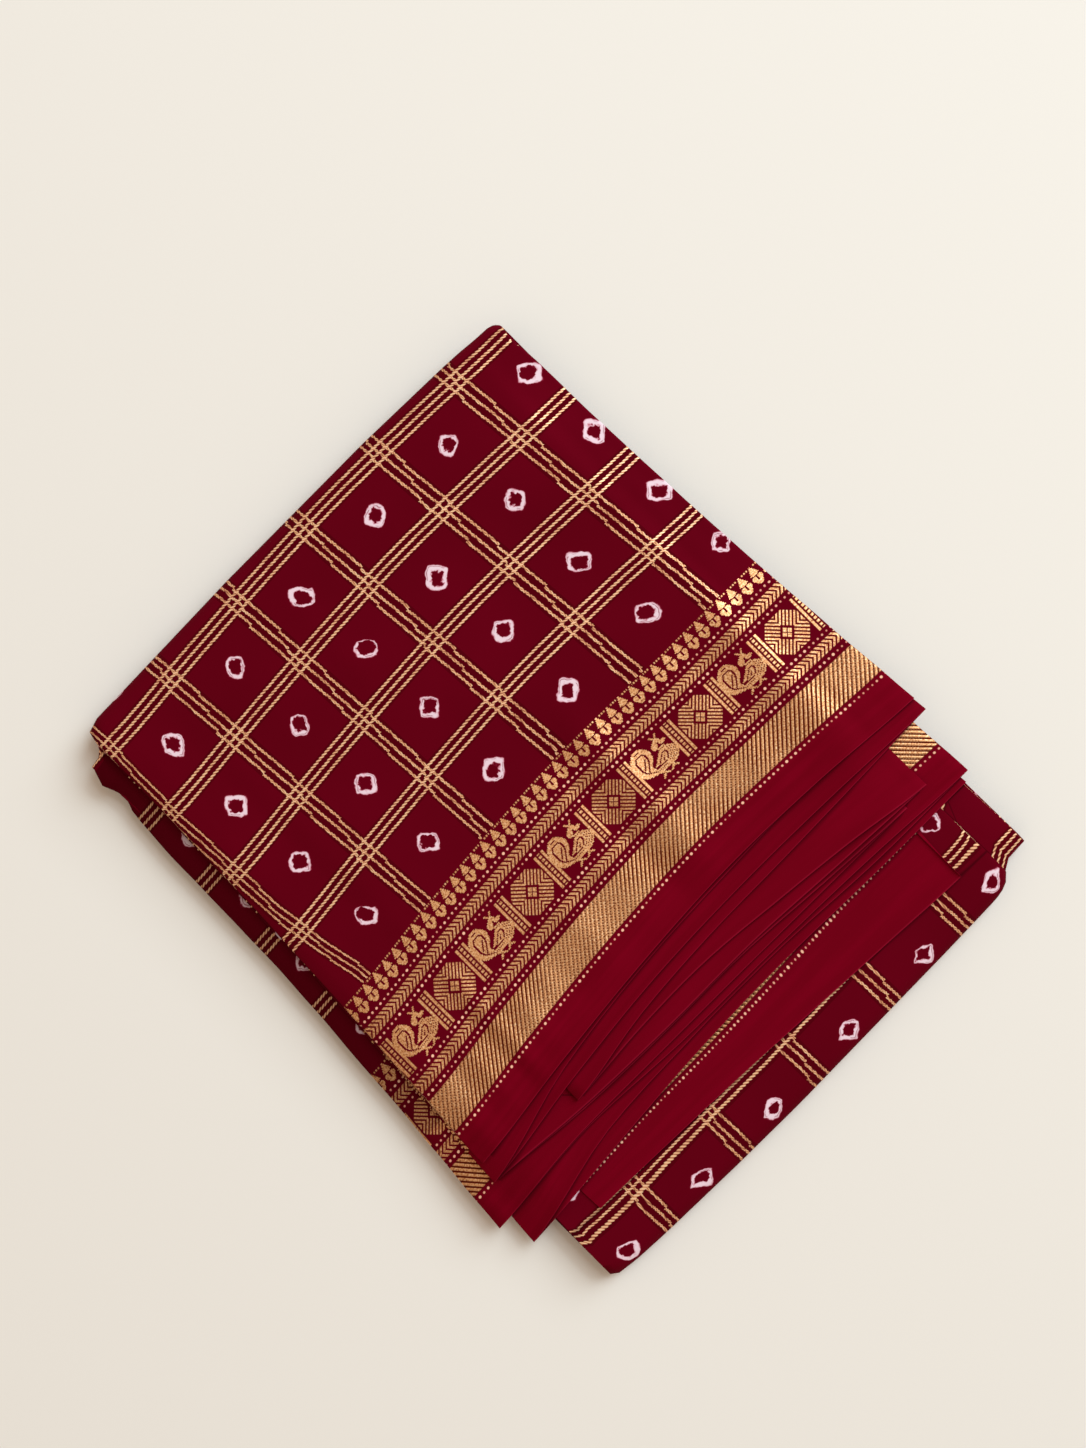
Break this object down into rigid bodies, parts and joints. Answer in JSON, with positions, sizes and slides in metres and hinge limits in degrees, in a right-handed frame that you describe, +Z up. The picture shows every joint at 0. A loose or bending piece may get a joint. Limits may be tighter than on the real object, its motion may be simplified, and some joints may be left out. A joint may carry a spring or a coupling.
{
  "type": "folded sungudi saree",
  "caption": "Long cotton saree with tie-dyed rings, a zari check and woven borders, pleated and folded into a flat pack.",
  "frame": {"origin": "middle of the pack's footprint, on the surface that it lies on", "axes": "+Z up through the folded layers, +Y from the fanned selvedges to the upper fold, +X along the pleated panels"},
  "size_m": [0.4016, 0.4649, 0.0231],
  "materials": {
    "maroon_cotton_zari": "plain-woven maroon cotton with a gold zari check, tie-dyed rings and a brocaded border"
  },
  "bodies": {
    "root": {"saree": "maroon_cotton_zari"}
  },
  "joints": []
}
